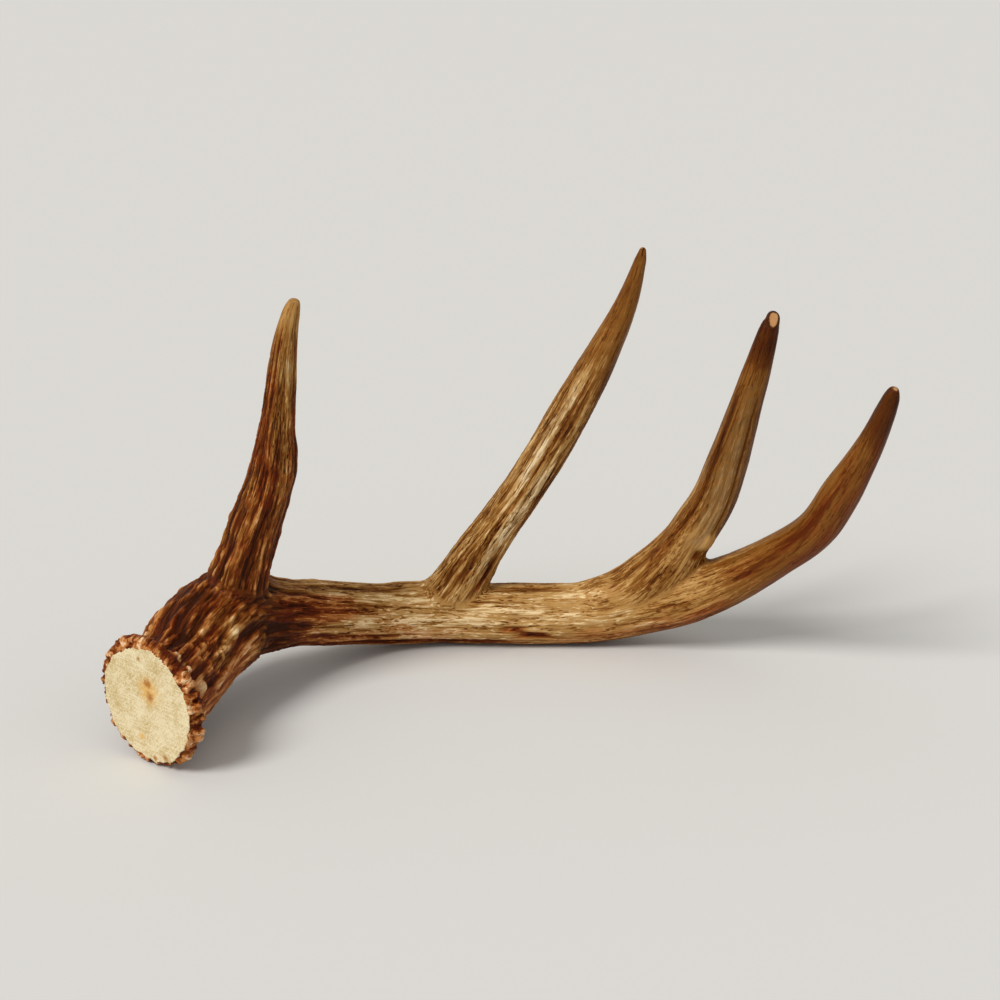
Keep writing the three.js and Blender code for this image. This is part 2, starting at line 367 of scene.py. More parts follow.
# tone runs from 0, black brown, to 1, cream. hue runs from -1, grey, over 0, golden, to 1, rust.
# pearled is the share of beads, polish how far the surface is rubbed smooth. Distances are in mm.
LAYERS = ("tone", "hue", "pearled", "polish")
STOPS = {
    "beam": (
        (0, 0.50, 1.00, 1.0, 0.0), (12, 0.44, 0.75, 1.0, 0.0), (45, 0.42, 0.60, 1.0, 0.0),
        (68, 0.32, 0.50, 0.9, 0.0), (84, 0.33, 0.62, 0.45, 0.0), (100, 0.48, 0.58, 0.1, 0.0),
        (118, 0.60, 0.35, 0.0, 0.05), (140, 0.70, 0.15, 0.0, 0.1), (165, 0.71, 0.10, 0.0, 0.15),
        (205, 0.69, 0.05, 0.0, 0.3), (235, 0.66, 0.0, 0.0, 0.5), (270, 0.62, 0.02, 0.0, 0.55),
        (300, 0.46, 0.18, 0.0, 0.7), (325, 0.41, 0.33, 0.0, 0.9), (360, 0.42, 0.32, 0.0, 0.95),
        (385, 0.40, 0.25, 0.0, 1.0), (398, 0.22, 0.25, 0.0, 1.0), (408, 0.17, 0.20, 0.0, 1.0),
    ),
    "brow_tine": (
        (20, 0.36, 0.55, 0.85, 0.0), (38, 0.40, 0.55, 0.45, 0.0), (60, 0.43, 0.45, 0.2, 0.0),
        (75, 0.44, 0.40, 0.1, 0.05), (95, 0.45, 0.20, 0.0, 0.2), (112, 0.51, 0.05, 0.0, 0.45),
        (126, 0.62, 0.0, 0.0, 0.8), (132, 0.61, 0.0, 0.0, 1.0),
    ),
    "second_tine": (
        (15, 0.57, 0.05, 0.0, 0.2), (32, 0.52, 0.10, 0.0, 0.2), (60, 0.60, 0.0, 0.0, 0.2),
        (95, 0.58, 0.0, 0.0, 0.25), (120, 0.50, 0.10, 0.0, 0.45), (140, 0.46, 0.15, 0.0, 0.8),
        (165, 0.42, 0.10, 0.0, 0.95), (182, 0.38, 0.10, 0.0, 1.0),
    ),
    "third_tine": (
        (20, 0.60, 0.0, 0.0, 0.4), (45, 0.55, 0.0, 0.0, 0.45), (70, 0.51, -0.05, 0.0, 0.55),
        (95, 0.50, -0.30, 0.0, 0.65), (125, 0.45, -0.20, 0.0, 0.75), (149, 0.38, 0.10, 0.0, 0.9),
        (158, 0.14, 0.40, 0.0, 1.0), (172, 0.12, 0.30, 0.0, 1.0),
    ),
}

# Patches and scars of each limb: from and to in mm along it, the way they face, their half width in
# degrees, and how much they change each layer. depth, in mm, is carved away.
PATCHES = {
    "beam": (
        (4, 11, (0.94, -0.23, 0.26), 9, {"tone": 0.34, "hue": -0.20, "pearled": -1.0, "polish": 1.0}),
        (-25, 9, (0.92, -0.36, 0.14), 46, {"tone": 0.11}),
        (18, 60, (0.76, -0.43, 0.50), 28, {"tone": 0.15}),
        (14, 66, (0.08, -0.20, 0.96), 30, {"tone": -0.07}),
        (12, 32, (-0.41, 0.31, 0.86), 45, {"depth": 2.0}),
        (42, 50, (0.67, -0.51, 0.54), 12, {"tone": 0.20, "hue": -0.35}),
        (25, 36, (0.86, -0.39, 0.33), 14, {"tone": 0.16, "hue": -0.3}),
        (10, 50, (0.90, -0.26, -0.38), 26, {"pearled": -0.6, "hue": 0.5, "tone": 0.07}),
        (56, 92, (0.55, -0.78, -0.28), 26, {"tone": -0.12, "hue": -0.1}),
        (80, 116, (0.66, -0.60, 0.42), 20, {"tone": 0.05, "hue": 0.60}),
        (80, 112, (0.40, -0.05, 0.90), 34, {"tone": 0.28, "hue": -0.35}),
        (114, 150, (0.32, -0.05, 0.95), 32, {"tone": -0.12, "hue": -0.35}),
        (120, 160, (0.42, -0.78, 0.44), 26, {"tone": 0.16, "hue": 0.10}),
        # Painted shade: darker, and redder, where the beam faces the floor along the stretch that lies
        # on it.
        (88, 290, (0.05, -0.20, -0.98), 42, {"tone": -0.20, "hue": 0.50}),
        (114, 172, (0.22, -0.95, -0.18), 20, {"tone": 0.04, "hue": 0.30}),
        (150, 228, (0.0, -0.96, 0.22), 26, {"tone": 0.09, "hue": -0.15}),
        (140, 215, (0.0, -0.25, 0.97), 30, {"tone": -0.14, "hue": -0.1}),
        (222, 290, (0.0, -0.92, -0.38), 16, {"tone": 0.03, "hue": 0.40}),
        (300, 400, (-0.55, 0.30, 0.75), 40, {"tone": 0.03, "hue": -0.45}),
        (300, 400, (0.60, -0.50, -0.60), 40, {"tone": -0.06, "hue": 0.30}),
        # Dark vein grooves near the first fork and along the lower side.
        (86, 121, (0.30, 0.16, 0.94), 4, {"tone": -0.30, "depth": 0.5}),
        (96, 150, (0.22, -0.20, 0.95), 4, {"tone": -0.24, "depth": 0.4}),
        (80, 104, (0.62, -0.60, 0.50), 4, {"tone": -0.16, "hue": 0.30, "depth": 0.4}),
        (90, 128, (0.68, -0.66, 0.32), 4.5, {"tone": -0.28, "hue": 0.30, "depth": 0.5}),
        (92, 116, (0.64, -0.42, 0.65), 4, {"tone": -0.18, "hue": 0.35, "depth": 0.4}),
        (92, 134, (0.60, -0.78, -0.16), 12, {"tone": 0.12, "hue": -0.25}),
        (104, 152, (0.35, -0.85, -0.40), 3, {"tone": -0.16, "hue": 0.20, "depth": 0.3}),
        (144, 190, (0.0, -0.95, -0.26), 3, {"tone": -0.14, "hue": 0.20, "depth": 0.3}),
        (112, 196, (0.15, -0.72, -0.67), 5, {"tone": -0.30, "hue": 0.45, "depth": 0.7}),
        # Pits and a cross crack in the pale stretch.
        (191, 201, (0.0, -0.98, -0.18), 6, {"tone": -0.30, "hue": 0.8, "depth": 0.6}),
        (199, 211, (0.0, -0.91, -0.41), 7, {"tone": -0.36, "hue": 0.8, "depth": 0.9}),
        (171.8, 172.7, (0.10, -0.78, 0.62), 12, {"tone": -0.17, "depth": 0.2}),
        # Red-brown stains on the polished end.
        (296, 322, (-0.52, -0.85, 0.05), 9, {"tone": -0.07, "hue": 0.25}),
        (328, 362, (-0.76, -0.64, 0.10), 10, {"tone": -0.07, "hue": 0.25}),
        (340, 372, (-0.60, -0.80, -0.05), 6, {"tone": -0.08, "hue": 0.25}),
        # The crotch of the brow tine lies a little deeper than two round limbs would leave it, and
        # the knee below it and the crotch of the second tine are filled.
        (81, 100, (0.20, 0.30, 0.93), 40, {"depth": 1.3}),
        (74, 90, (0.45, -0.10, 0.88), 30, {"depth": 1.1}),
        (48, 92, (0.45, -0.68, -0.58), 26, {"depth": -1.1}),
        (144, 160, (0.0, 0.10, 0.99), 36, {"depth": -0.9}),
    ),
    "brow_tine": (
        (20, 105, (0.95, -0.30, 0.0), 34, {"tone": -0.14, "hue": 0.15}),
        (20, 92, (-0.95, -0.30, 0.0), 40, {"pearled": 0.25, "tone": -0.05}),
        (70, 118, (-0.75, -0.66, 0.0), 30, {"tone": -0.06, "hue": 0.35}),
        (70, 116, (0.35, -0.93, 0.0), 24, {"tone": 0.04, "hue": -0.40}),
        (52, 74, (0.0, -1.0, 0.0), 22, {"tone": -0.10, "hue": 0.35}),
        # Veins.
        (94, 124, (-0.42, -0.90, 0.08), 4.5, {"tone": -0.20, "hue": 0.45, "depth": 0.3}),
        (92, 118, (-0.75, -0.65, 0.08), 4, {"tone": -0.16, "hue": 0.45, "depth": 0.3}),
        (46, 86, (0.24, -0.96, -0.10), 5, {"tone": -0.16, "hue": 0.40, "depth": 0.3}),
        # A deeper foot, and the knob on the side of the beam.
        (20, 38, (-0.97, -0.20, 0.10), 40, {"depth": 1.3}),
        (16, 34, (0.93, 0.30, 0.10), 40, {"depth": 1.0}),
        (64, 80, (1.0, -0.10, 0.0), 30, {"depth": -1.3}),
    ),
    "second_tine": (
        (70, 130, (-0.46, -0.88, 0.10), 14, {"tone": 0.19, "hue": -0.50}),
        (24, 88, (0.26, -0.95, -0.20), 16, {"tone": 0.18, "hue": -0.50}),
        (18, 140, (-0.90, -0.25, 0.35), 30, {"tone": -0.06, "hue": -0.25}),
        (48, 140, (0.85, -0.25, -0.45), 32, {"tone": -0.14, "hue": 0.10}),
        # Veins.
        (46, 130, (-0.16, -0.98, -0.04), 5, {"tone": -0.18, "hue": 0.25, "depth": 0.35}),
        (62, 118, (0.16, -0.98, -0.12), 4, {"tone": -0.12, "hue": 0.20, "depth": 0.2}),
        # The scar in the crotch and the flat on the tip.
        (22, 38, (0.52, -0.76, -0.38), 5, {"tone": -0.26, "hue": 1.0, "depth": 0.7}),
        (180, 189, (0.15, -1.0, 0.2), 12, {"tone": -0.15, "depth": 1.4}),
        # The filled crotch.
        (20, 32, (0.95, 0.0, -0.3), 30, {"depth": -1.0}),
    ),
    "third_tine": (
        (62, 146, (-0.05, -0.98, -0.2), 26, {"tone": 0.03, "hue": -0.30, "polish": 0.25}),
        (48, 138, (-0.80, -0.60, 0.1), 11, {"tone": -0.16, "hue": 0.30}),
        (62, 146, (0.80, -0.55, -0.25), 12, {"tone": -0.15, "hue": 0.30}),
        # Veins.
        (66, 130, (-0.80, -0.60, 0.05), 4, {"tone": -0.16, "depth": 0.25}),
        (78, 134, (0.40, -0.87, -0.30), 4, {"tone": -0.20, "hue": 0.40, "depth": 0.25}),
        # The scar in the crotch and the smooth fold above it.
        (61.5, 66.0, (0.32, -0.87, -0.39), 8, {"tone": -0.26, "hue": 1.0, "depth": 0.7}),
        (68, 75, (0.46, -0.80, -0.38), 15, {"tone": 0.15, "hue": 0.35, "polish": 0.4, "depth": -1.5}),
        # A deeper foot.
        (44, 68, (-0.82, 0.10, 0.55), 35, {"depth": 0.9}),
    ),
}
PATCH_FADE = 7.0              # mm over which a long patch fades out along the limb
PATCH_CORE, PATCH_EDGE = 0.45, 1.6     # half widths at which it starts to fade, and at which it ends

# Flats worn or broken on the tips: a point on the flat and the way it faces, and its reach in mm.
WORN_FLATS = (
    ((103.6, 24.4, 144.4), (0.12, -0.92, 0.36), 9.0),
    ((145.9, -6.7, 129.6), (0.30, -0.45, 0.84), 4.0),
    ((-75.0, 0.6, 162.0), (0.25, -0.25, 0.93), 3.0),
    ((55.2, 39.0, 172.9), (-0.35, -0.10, 0.93), 2.5),
)


def deselect():
    bpy.ops.object.select_all(action="DESELECT")


def pick(*objects):
    """Selects only these objects, the first of them active."""
    deselect()
    for o in objects:
        o.select_set(True)
    bpy.context.view_layer.objects.active = objects[0]


def apply_modifier(obj, kind, **settings):
    pick(obj)
    modifier = obj.modifiers.new(kind.title(), kind)
    for name, value in settings.items():
        setattr(modifier, name, value)
    bpy.ops.object.modifier_apply(modifier=modifier.name)


def points_of(mesh):
    found = np.empty(len(mesh.vertices) * 3, np.float32)
    mesh.vertices.foreach_get("co", found)
    return found.reshape(-1, 3).astype(float)


def normals_of(mesh):
    found = np.empty(len(mesh.vertices) * 3, np.float32)
    mesh.vertex_normals.foreach_get("vector", found)
    return found.reshape(-1, 3).astype(float)


def write_layer(mesh, name, values):
    kind, field = ("FLOAT_VECTOR", "vector") if values.ndim == 2 else ("FLOAT", "value")
    layer = mesh.attributes.get(name) or mesh.attributes.new(name, kind, "POINT")
    layer.data.foreach_set(field, values.astype(np.float32).ravel())


def the_bone():
    bone = bpy.data.objects.get("antler_bone")
    if bone is None:
        raise RuntimeError("grow the bone first")
    return bone


def sweep_limb(name, limb, lead):
    """A round limb swept along its course, begun lead metres early and closed with a round tip."""
    centres, radii = list(limb.centre), list(limb.radius)
    if lead:
        centres.insert(0, limb.centre[0] - limb.tangent[0] * lead)
        radii.insert(0, limb.radius[0])
    tip, direction, blunt = limb.centre[-1], limb.tangent[-1], limb.radius[-1]
    for degrees in TIP_RINGS:
        angle = math.radians(degrees)
        centres.append(tip + direction * blunt * TIP_BLUNTNESS * math.sin(angle))
        radii.append(blunt * math.cos(angle))
    bpy.ops.curve.primitive_bezier_curve_add()
    swept = bpy.context.active_object
    swept.name = name
    course = swept.data
    course.splines.clear()
    spline = course.splines.new("POLY")
    spline.points.add(len(centres) - 1)
    for point, centre, radius in zip(spline.points, centres, radii):
        point.co = (*centre, 1)
        point.radius = radius
    course.bevel_depth = 1
    course.bevel_resolution = LIMB_ROUNDNESS
    course.use_fill_caps = True
    bpy.ops.object.convert(target="MESH")
    return bpy.context.active_object


def fork_share(points):
    """1 on the creases where a tine grows out of the beam, fading to 0 away from them."""
    beam = LIMBS["beam"].measure(points)
    near_beam = np.linalg.norm(beam["offset"], axis=1) / beam["radius"]
    share = np.zeros(len(points))
    for name in TAKES_OVER:
        tine = LIMBS[name].measure(points)
        near_tine = np.linalg.norm(tine["offset"], axis=1) / tine["radius"]
        outside = np.maximum(near_beam, near_tine)
        share = np.maximum(share, 1 - smooth(*CREASES, outside))
    return share


class ANTLER_OT_grow_bone(bpy.types.Operator):
    """Sweeps the beam and its tines, lets them grow together and adds the beaded burr"""
    bl_idname = "antler.grow_bone"
    bl_label = "Grow the Bone"

    def execute(self, context):
        sizes = context.scene.antler_bone
        deselect()
        leads = {"beam": LEAD}
        limbs = [sweep_limb(name, limb, leads.get(name, 0)) for name, limb in LIMBS.items()]
        pick(*limbs)
        bpy.ops.object.join()
        bone = context.active_object
        bone.name = bone.data.name = "antler_bone"
        apply_modifier(bone, "REMESH", mode="VOXEL", voxel_size=sizes.rough_voxel)
        forks = bone.vertex_groups.new(name="forks")
        for index, share in enumerate(fork_share(points_of(bone.data))):
            if share > 0:
                forks.add([index], float(share), "REPLACE")
        apply_modifier(
            bone, "SMOOTH", factor=FILLET_STRENGTH, iterations=sizes.fork_rounds,
            vertex_group="forks")
        bone.vertex_groups.clear()
        pick(bone)
        bpy.ops.object.mode_set(mode="EDIT")
        bpy.ops.mesh.select_all(action="DESELECT")
        self.add_burr(sizes)
        bpy.ops.object.mode_set(mode="OBJECT")
        apply_modifier(bone, "REMESH", mode="VOXEL", voxel_size=sizes.cut_voxel)
        bpy.ops.object.mode_set(mode="EDIT")
        bpy.ops.mesh.select_all(action="SELECT")
        bpy.ops.mesh.bisect(
            plane_co=SAWN_CENTRE, plane_no=SAWN_NORMAL, use_fill=True, clear_outer=True)
        bpy.ops.object.mode_set(mode="OBJECT")
        apply_modifier(bone, "REMESH", mode="VOXEL", voxel_size=sizes.fine_voxel)
        apply_modifier(bone, "SMOOTH", factor=0.5, iterations=VOXEL_ROUNDS)
        return {"FINISHED"}

    def add_burr(self, sizes):
        """The burr's crown and foot, the rows of beads around it and the stem's large pearls."""
        turn = INWARD.to_track_quat("Z", "Y").to_euler()
        swell = sizes.crown_swell
        for sideways, upward in ((0, 0), (-swell, swell), (-swell / 2, -swell)):
            middle = SAWN_CENTRE + LEVEL * sideways + UPRIGHT * upward
            bpy.ops.mesh.primitive_cylinder_add(
                vertices=BURR_SIDES, radius=sizes.crown_radius, depth=sizes.crown_back + LEAD,
                location=middle + INWARD * (sizes.crown_back - LEAD) / 2, rotation=turn)
            bpy.ops.mesh.primitive_cone_add(
                vertices=BURR_SIDES, radius1=sizes.crown_radius, radius2=sizes.foot_radius,
                depth=sizes.foot_back - sizes.crown_back,
                location=middle + INWARD * (sizes.foot_back + sizes.crown_back) / 2, rotation=turn)
        chance = random.Random(BEAD_SEED)
        for depth, stand_out, share in BEAD_ROWS:
            for k in range(sizes.beads):
                angle = math.tau * (k + chance.uniform(-BEAD_TURN, BEAD_TURN)) / sizes.beads
                out = sizes.crown_radius + swell * max(0.0, math.cos(angle - SWELL_ANGLE))
                out += (stand_out + chance.uniform(-BEAD_RISE, BEAD_RISE)) * MM
                for low, worn in TRIMS:
                    out -= worn * MM * float(smooth(TRIM_WIDTH, 1.0, math.cos(angle - low)))
                behind = depth + chance.uniform(-BEAD_STRAY, BEAD_STRAY)
                place = SAWN_CENTRE + INWARD * behind * MM
                place += (LEVEL * math.cos(angle) + UPRIGHT * math.sin(angle)) * out
                radius = sizes.bead * share * chance.uniform(*BEAD_SIZES)
                bpy.ops.mesh.primitive_ico_sphere_add(subdivisions=2, radius=radius, location=place)
        limb = LIMBS["beam"]
        for along, facing, radius in LARGE_PEARLS:
            i = limb.at(along * MM)
            direction = Vector(facing).normalized()
            place = Vector(limb.centre[i]) + direction * (limb.radius[i] - radius * MM * PEARL_SEAT)
            bpy.ops.mesh.primitive_ico_sphere_add(
                subdivisions=3, radius=radius * MM, location=place)


def seat_on(limb, points):
    """Where points lie on a limb: its measures, the grain coordinates in mm and the radii out."""
    seat = limb.measure(points)
    narrow = (GRAIN_RADIUS / np.maximum(seat["radius"], MM)) ** GRAIN_TAPER
    seat["grain"] = np.stack([
        (seat["offset"] * seat["side"]).sum(axis=1) * narrow / MM,
        (seat["offset"] * seat["across"]).sum(axis=1) * narrow / MM,
        (seat["along"] + limb.grain_start) / MM,
    ], axis=1)
    seat["out"] = np.linalg.norm(seat["offset"], axis=1) / seat["radius"]
    seat["radial"] = unit(seat["offset"])
    return seat


def tint_of(name, seat):
    """A limb's layers at its seats, with the depth that its scars are carved to, in mm."""
    along = seat["along"] / MM
    stops = np.array(STOPS[name])
    columns = [np.interp(along, stops[:, 0], column) for column in stops[:, 1:].T]
    tint = np.stack([*columns, np.zeros(len(along))], axis=1)
    for start, end, facing, spread, changes in PATCHES[name]:
        facing = np.array(facing)
        direction = unit(facing - seat["tangent"] * (seat["tangent"] @ facing)[:, None])
        turned = np.degrees(np.arccos(np.clip((seat["radial"] * direction).sum(axis=1), -1, 1)))
        fade = min(PATCH_FADE, (end - start) / 3)
        weight = 1 - smooth(spread * PATCH_CORE, spread * PATCH_EDGE, turned)
        weight *= smooth(start - fade, start + fade, along)
        weight *= 1 - smooth(end - fade, end + fade, along)
        for layer, change in changes.items():
            tint[:, (*LAYERS, "depth").index(layer)] += weight * change
    return tint


def grain_and_tint(points):
    """The layers of each point, on the beam and on the tine nearest to it."""
    beam = seat_on(LIMBS["beam"], points)
    nearest = beam["out"]
    found = {
        "beam_grain": beam["grain"],
        "tine_grain": beam["grain"],
        "tine_share": np.zeros(len(points)),
        "radial": beam["radial"],
        "tint": tint_of("beam", beam),
    }
    for name, (low, high) in TAKES_OVER.items():
        tine = seat_on(LIMBS[name], points)
        share = smooth(low, high, tine["along"] / MM)
        share *= smooth(-TAKES_OVER_WIDTH, TAKES_OVER_WIDTH, nearest - tine["out"])
        nearest = np.minimum(nearest, tine["out"])
        mixed = share[:, None]
        found["tint"] = found["tint"] * (1 - mixed) + tint_of(name, tine) * mixed
        found["radial"] = unit(found["radial"] * (1 - mixed) + tine["radial"] * mixed)
        closer = share > found["tine_share"]
        found["tine_grain"] = np.where(closer[:, None], tine["grain"], found["tine_grain"])
        found["tine_share"] = np.maximum(found["tine_share"], share)
    return found


def ragged_edge(angle):
    """Radius of the sawn face's edge in mm, at angles counted from LEVEL to UPRIGHT."""
    widest = smooth(0.55, 1.0, np.cos(angle - RIM_ANGLE))
    waves = sum(height * np.sin(around * angle + start) for height, around, start in EDGE_WAVES)
    return FACE_RADIUS - RIM_WIDENING * widest + waves


def face_rim(points):
    """How far points lie outside the sawn face's edge, and how deep its rim is there, in mm."""
    local = (points - np.array(SAWN_CENTRE)) / MM
    sideways, upward = local @ np.array(LEVEL), local @ np.array(UPRIGHT)
    outside = np.hypot(sideways, upward) - ragged_edge(np.arctan2(upward, sideways))
    depth = RIM_DEPTH * smooth(0, 0.7, outside)
    chance = random.Random(RIM_SEED)
    for row in RIM_ROWS:
        for k in range(RIM_BEADS):
            turn = math.tau * (k + row / 2 + chance.uniform(-0.3, 0.3)) / RIM_BEADS
            out = ragged_edge(turn) + row + chance.uniform(-0.3, 0.4)
            off = np.hypot(sideways - out * math.cos(turn), upward - out * math.sin(turn))
            size = chance.uniform(*RIM_BEAD_SIZES)
            depth = np.minimum(depth, RIM_DEPTH - np.sqrt(np.maximum(size**2 - off**2, 0)))
    return outside, np.maximum(depth, 0) * (outside > 0)


# ---- The bone's figure, drawn the same way in the relief and in the skin -----------------------

EASED = {"interpolation_type": "SMOOTHSTEP"}
COLOURED = {"output": 2, "data_type": "RGBA"}


def add_node(tree, kind, inputs=(), output=0, **settings):
    """Adds a node with its settings, and returns one of its outputs if it has any. inputs gives
    its sockets a value or links them to an output."""
    node = tree.nodes.new(kind)
    for name, value in settings.items():
        setattr(node, name, value)
    for socket, value in dict(inputs).items():
        if isinstance(value, bpy.types.NodeSocket):
            tree.links.new(value, node.inputs[socket])
        else:
            node.inputs[socket].default_value = value
    return node.outputs[output] if len(node.outputs) else None


def total(tree, *products):
    """The sum of products, each of two sockets or of a socket and its weight."""
    first, *others = products
    result = add_node(tree, "ShaderNodeMath", dict(enumerate(first)), operation="MULTIPLY")
    for pair in others:
        terms = dict(enumerate((*pair, result)))
        result = add_node(tree, "ShaderNodeMath", terms, operation="MULTIPLY_ADD")
    return result


def drawn(tree, figure, *rows):
    """The sum of the figure's patterns, each with where it shows and its weight."""
    shown = ((total(tree, (figure[name], where)), weight) for name, where, weight in rows)
    return total(tree, *shown)


def grained(tree, grain, across, along, shift):
    """Grain coordinates in cells of this width and length in mm."""
    cells = (1 / across, 1 / across, 1 / along)
    return add_node(
        tree, "ShaderNodeVectorMath", {0: grain, 1: cells, 2: (shift,) * 3}, operation="MULTIPLY_ADD")


def mottle(tree, grain, across, along, shift, detail=1.0, roughness=0.5, between=None):
    """An uneven pattern in cells of this width and length in mm, from 0 to 1 and mostly near its
    middle. between gives the heights that are sharpened to 0 and to 1."""
    pattern = add_node(tree, "ShaderNodeTexNoise", {
        "Vector": grained(tree, grain, across, along, shift),
        "Scale": 1.0, "Detail": detail, "Roughness": roughness})
    if between is None:
        return pattern
    low, high = between
    return add_node(tree, "ShaderNodeMapRange", {0: pattern, 1: low, 2: high}, **EASED)


def thin_lines(tree, pattern, mask, inner, outer):
    """Lines where a pattern crosses its middle height, as far as the mask lets them show."""
    from_middle = add_node(tree, "ShaderNodeMath", {0: pattern, 1: 0.5}, operation="SUBTRACT")
    away = add_node(tree, "ShaderNodeMath", {0: from_middle}, operation="ABSOLUTE")
    line = add_node(
        tree, "ShaderNodeMapRange", {0: away, 1: inner, 2: outer, 3: 1.0, 4: 0.0}, **EASED)
    return total(tree, (line, mask))


def bone_figure(tree, grain):
    """The bone's figure as values from the grain coordinates. The numbers are widths and lengths in
    mm. Lumps, ridges, streaks and fibres lie about 0, and the rest runs from 0 to 1."""
    risen = {
        "lumps": mottle(tree, grain, 15, 34, 0.0),
        "ridges": mottle(tree, grain, 3.0, 44, 3.1, 2.0, between=(0.34, 0.66)),
        "streaks": mottle(tree, grain, 1.15, 13, 1.9, 4.0, 0.7),
        "fibres": mottle(tree, grain, 0.62, 8.5, 14.2, 2.0, between=(0.36, 0.64)),
    }
    figure = {
        name: add_node(tree, "ShaderNodeMath", {0: pattern, 1: 0.5}, operation="SUBTRACT")
        for name, pattern in risen.items()}
    course = mottle(tree, grain, 6.0, 80, 7.7, 1.5, 0.4)
    present = mottle(tree, grain, 11, 40, 5.3, between=(0.42, 0.58))
    figure["grooves"] = thin_lines(tree, course, present, 0.006, 0.034)
    thread = mottle(tree, grain, 2.4, 24, 10.3, 2.5, 0.55)
    broken = mottle(tree, grain, 4, 15, 15.6, between=(0.44, 0.56))
    figure["veins"] = thin_lines(tree, thread, broken, 0.008, 0.030)
    bent = add_node(tree, "ShaderNodeTexNoise", {
        "Vector": grained(tree, grain, 5, 9, 2.2), "Scale": 1.0, "Detail": 1.0}, "Color")
    straight = grained(tree, grain, 2.4, 10.5, 4.4)
    warped = add_node(
        tree, "ShaderNodeVectorMath", {0: bent, 1: (1.8,) * 3, 2: straight}, operation="MULTIPLY_ADD")
    cells = add_node(tree, "ShaderNodeTexVoronoi", {
        "Vector": warped, "Scale": 1.0, "Randomness": 0.95}, "Distance", feature="F1")
    figure["pearls"] = add_node(
        tree, "ShaderNodeMapRange", {0: cells, 1: 0.08, 2: 0.62, 3: 1.0, 4: 0.0}, **EASED)
    pinholes = mottle(tree, grain, 0.6, 3.2, 8.8, between=(0.58, 0.66))
    scattered = mottle(tree, grain, 7, 22, 6.1, between=(0.40, 0.60))
    figure["pores"] = total(tree, (pinholes, scattered))
    figure["flecks"] = mottle(tree, grain, 0.75, 3.4, 17.3, between=(0.58, 0.68))
    return figure


def grown_figure(tree, layer):
    """The figure of the beam, which gives way to the tine's at each fork. Its clear is 1 where only
    one of them shows, and less where they cross."""
    beam_grain = layer("beam_grain", "FLOAT_VECTOR")
    on_beam = bone_figure(tree, beam_grain)
    on_tine = bone_figure(tree, layer("tine_grain", "FLOAT_VECTOR"))
    wander = mottle(tree, beam_grain, 2.5, 8, 20.5, 2.0)
    wandering = total(tree, (layer("tine_share"), 1.0), (wander, 0.8))
    share = add_node(tree, "ShaderNodeMapRange", {0: wandering, 1: 0.62, 2: 1.18}, **EASED)
    figure = {
        name: add_node(tree, "ShaderNodeMix", {0: share, 2: on_beam[name], 3: on_tine[name]})
        for name in on_beam}
    rest = add_node(tree, "ShaderNodeMath", {0: 1.0, 1: share}, operation="SUBTRACT")
    crossed = total(tree, (share, rest))
    figure["clear"] = add_node(
        tree, "ShaderNodeMapRange", {0: crossed, 2: 0.25, 3: 1.0, 4: 0.30}, **EASED)
    return figure


def relief_group(sizes):
    """Geometry nodes that carve the figure into the surface."""
    tree = bpy.data.node_groups.new("Antler relief", "GeometryNodeTree")
    for way in ("INPUT", "OUTPUT"):
        tree.interface.new_socket("Geometry", in_out=way, socket_type="NodeSocketGeometry")

    def layer(name, kind="FLOAT"):
        return add_node(tree, "GeometryNodeInputNamedAttribute", {"Name": name}, data_type=kind)

    figure = grown_figure(tree, layer)
    pearled = layer("pearled")
    unpolished = add_node(tree, "ShaderNodeMapRange", {0: layer("polish"), 3: 1.0, 4: 0.1}, **EASED)
    rough = total(tree, (unpolished, figure["clear"]))
    height = drawn(
        tree, figure,
        ("lumps", 1.0, sizes.lump),
        ("ridges", total(tree, (rough, 0.6), (pearled, 0.7)), sizes.ridge),
        ("grooves", rough, -sizes.groove),
        ("streaks", rough, sizes.streak),
        ("fibres", rough, sizes.fibre),
        ("pearls", pearled, sizes.pearl),
        ("pores", rough, -sizes.pore),
        ("veins", rough, -sizes.pore),
    )
    grown = add_node(tree, "ShaderNodeMapRange", {0: layer("sawn"), 3: 1.0, 4: 0.0}, **EASED)
    normal = add_node(tree, "GeometryNodeInputNormal")
    lift = add_node(tree, "ShaderNodeVectorMath", {
        0: normal, "Scale": total(tree, (height, grown))}, operation="SCALE")
    entry = add_node(tree, "NodeGroupInput")
    moved = add_node(tree, "GeometryNodeSetPosition", {"Geometry": entry, "Offset": lift})
    add_node(tree, "NodeGroupOutput", {0: moved})
    return tree


